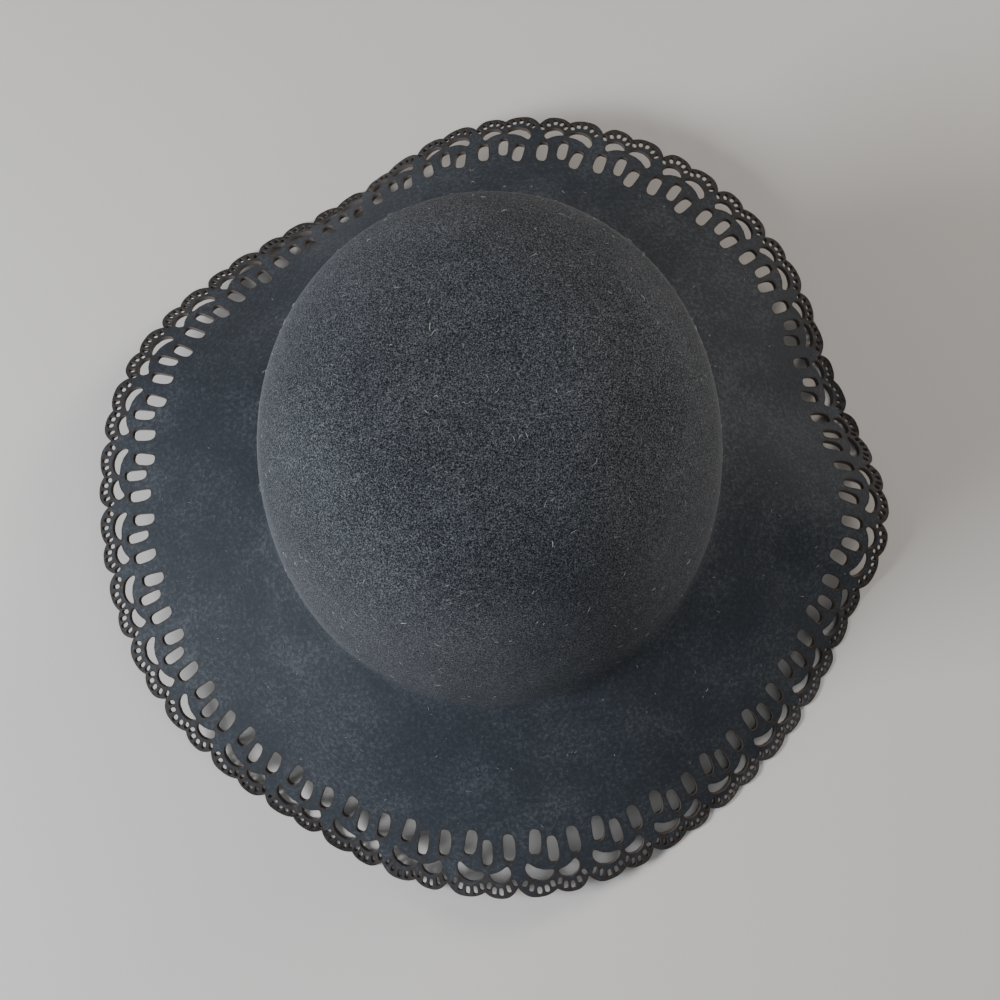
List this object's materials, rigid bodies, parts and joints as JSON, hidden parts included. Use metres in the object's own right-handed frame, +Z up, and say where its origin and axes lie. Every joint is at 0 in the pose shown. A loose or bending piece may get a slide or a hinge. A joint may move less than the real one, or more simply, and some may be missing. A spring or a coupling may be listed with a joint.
{
  "type": "wool felt hat with a pierced lace brim",
  "caption": "Black wool felt hat with a round dome crown and a wide floppy brim whose scalloped edge is pierced like lace.",
  "frame": {"origin": "on the surface that the hat rests on, under the middle of its outline", "axes": "+Z up out of the top of the crown, -Y towards the front of the hat, +X to its left side as worn"},
  "size_m": [0.3404, 0.3484, 0.1782],
  "materials": {
    "black_wool_felt": "matt pressed wool felt with a short soft nap"
  },
  "bodies": {
    "root": {"felt_hat": "black_wool_felt"}
  },
  "joints": []
}
